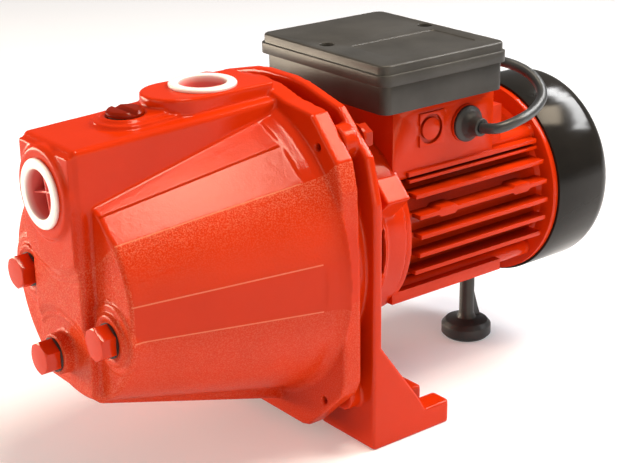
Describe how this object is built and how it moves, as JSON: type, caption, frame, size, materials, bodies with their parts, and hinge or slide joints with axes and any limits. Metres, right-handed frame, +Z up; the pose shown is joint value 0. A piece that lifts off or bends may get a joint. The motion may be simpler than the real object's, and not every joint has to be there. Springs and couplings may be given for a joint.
{
  "type": "self-priming jet pump",
  "caption": "Self-priming jet water pump: red cast casing with ejector, finned motor, side feet, terminal box, fan cover, capped ports and mains lead.",
  "frame": {"origin": "on the floor, midway between the two foot slots, below the shaft", "axes": "+X along the shaft from the suction port to the fan, +Z up, Y across the feet"},
  "size_m": [0.3841, 0.2925, 0.2149],
  "materials": {
    "red_cast": "glossy enamel on rough casting",
    "red_paint": "glossy enamel on die-cast aluminium",
    "technopolymer": "moulded",
    "brass": "cast, machined",
    "black_rubber": "satin",
    "zinc_steel": "zinc plated",
    "ceramic": "ground alumina",
    "carbon": "lapped",
    "shaft_steel": "ground",
    "lamination": "stamped electrical steel",
    "cast_aluminium": "die-cast",
    "bearing_steel": "polished",
    "copper": "enamelled wire",
    "black_plastic": "moulded",
    "black_gloss": "glossy black paint",
    "grey_plastic": "fine grained, satin",
    "dark_screw": "blackened",
    "pale_plastic": "moulded",
    "cord_rubber": "smooth sheath",
    "brass_painted": "painted over",
    "cap_white": "translucent polyethylene"
  },
  "bodies": {
    "pump": {"pump_casing": "red_cast", "motor_bracket": "red_cast", "near_foot": "red_cast", "far_foot": "red_cast", "motor_frame": "red_paint", "rear_end_shield": "red_paint", "ejector_nozzle": "technopolymer", "venturi_tube": "technopolymer", "diffuser": "technopolymer", "casing_o_ring": "black_rubber", "casing_bolts": "red_paint", "seal_seat": "ceramic", "front_bearing_outer_ring": "bearing_steel", "rear_bearing_outer_ring": "bearing_steel", "bearing_wave_washer": "bearing_steel", "stator_core": "lamination", "stator_windings": "copper", "tie_rods": "zinc_steel", "fan_cover": "black_gloss", "terminal_box_gasket": "black_rubber", "terminal_box_base": "grey_plastic", "box_screws": "zinc_steel", "terminal_box_lid": "grey_plastic", "lid_screws": "dark_screw", "terminal_block": "pale_plastic", "run_capacitor": "pale_plastic", "cable_grommet": "black_rubber", "power_cord": "cord_rubber", "cord_coil": "cord_rubber", "cord_tail": "cord_rubber", "mains_plug": "cord_rubber", "mains_plug_pins": "zinc_steel", "rear_foot": "black_rubber", "rear_foot_screw": "zinc_steel"},
    "rotor": {"motor_shaft": "shaft_steel", "rotor_core": "lamination", "rotor_cage": "cast_aluminium", "impeller": "brass", "impeller_nut": "zinc_steel", "impeller_key": "zinc_steel", "seal_carbon_ring": "carbon", "seal_bellows": "black_rubber", "water_slinger": "black_rubber", "front_bearing_inner_ring": "bearing_steel", "rear_bearing_inner_ring": "bearing_steel", "cooling_fan": "black_plastic", "fan_clip": "zinc_steel"},
    "bearing_ball_set": {"bearing_balls": "bearing_steel", "bearing_cages": "zinc_steel"},
    "suction_cap": {"suction_port_cap": "cap_white"},
    "discharge_cap": {"discharge_port_cap": "cap_white"},
    "near_side_washer_body": {"near_side_plug_washer": "black_rubber"},
    "near_side_plug_body": {"near_side_plug": "brass_painted"},
    "far_side_washer_body": {"far_side_plug_washer": "black_rubber"},
    "far_side_plug_body": {"far_side_plug": "brass_painted"},
    "drain_washer_body": {"drain_plug_washer": "black_rubber"},
    "drain_plug_body": {"drain_plug": "brass_painted"},
    "priming_washer_body": {"priming_plug_washer": "black_rubber"},
    "priming_plug_body": {"priming_plug": "brass_painted"}
  },
  "joints": [
    {"name": "rotor_spin", "type": "hinge", "parent": "pump", "child": "rotor", "pos_m": [0, 0, 0.1092], "axis": [1, 0, 0], "continuous": true},
    {"name": "ball_set_spin", "type": "hinge", "parent": "pump", "child": "bearing_ball_set", "pos_m": [0, 0, 0.1092], "axis": [1, 0, 0], "continuous": true},
    {"name": "suction_cap_pull", "type": "slide", "parent": "pump", "child": "suction_cap", "axis": [-1, 0, 0], "range_m": [0, 0.03]},
    {"name": "discharge_cap_pull", "type": "slide", "parent": "pump", "child": "discharge_cap", "axis": [0, 0, 1], "range_m": [0, 0.03]},
    {"name": "near_side_plug_travel", "type": "slide", "parent": "pump", "child": "near_side_washer_body", "axis": [-1, 0, 0], "range_m": [0, 0.0101]},
    {"name": "near_side_plug_turn", "type": "hinge", "parent": "near_side_washer_body", "child": "near_side_plug_body", "pos_m": [-0.1725, -0.0424, 0.0963], "axis": [-1, 0, 0], "range_deg": [0, 2700]},
    {"name": "far_side_plug_travel", "type": "slide", "parent": "pump", "child": "far_side_washer_body", "axis": [-1, 0, 0], "range_m": [0, 0.0101]},
    {"name": "far_side_plug_turn", "type": "hinge", "parent": "far_side_washer_body", "child": "far_side_plug_body", "pos_m": [-0.1725, 0.04, 0.111], "axis": [-1, 0, 0], "range_deg": [0, 2700]},
    {"name": "drain_plug_travel", "type": "slide", "parent": "pump", "child": "drain_washer_body", "axis": [-1, 0, 0], "range_m": [0, 0.0101]},
    {"name": "drain_plug_turn", "type": "hinge", "parent": "drain_washer_body", "child": "drain_plug_body", "pos_m": [-0.1826, 0, 0.0763], "axis": [-1, 0, 0], "range_deg": [0, 2700]},
    {"name": "priming_plug_travel", "type": "slide", "parent": "pump", "child": "priming_washer_body", "axis": [0, 0, 1], "range_m": [0, 0.0101]},
    {"name": "priming_plug_turn", "type": "hinge", "parent": "priming_washer_body", "child": "priming_plug_body", "pos_m": [-0.1302, 0, 0.1999], "axis": [0, 0, 1], "range_deg": [0, 2700]}
  ],
  "couplings": [
    {"joint": "ball_set_spin", "follows": "rotor_spin", "ratio": 0.38},
    {"joint": "near_side_plug_travel", "follows": "near_side_plug_turn", "m_per_rad": 0.00021279},
    {"joint": "far_side_plug_travel", "follows": "far_side_plug_turn", "m_per_rad": 0.00021279},
    {"joint": "drain_plug_travel", "follows": "drain_plug_turn", "m_per_rad": 0.00021279},
    {"joint": "priming_plug_travel", "follows": "priming_plug_turn", "m_per_rad": 0.00021279}
  ]
}
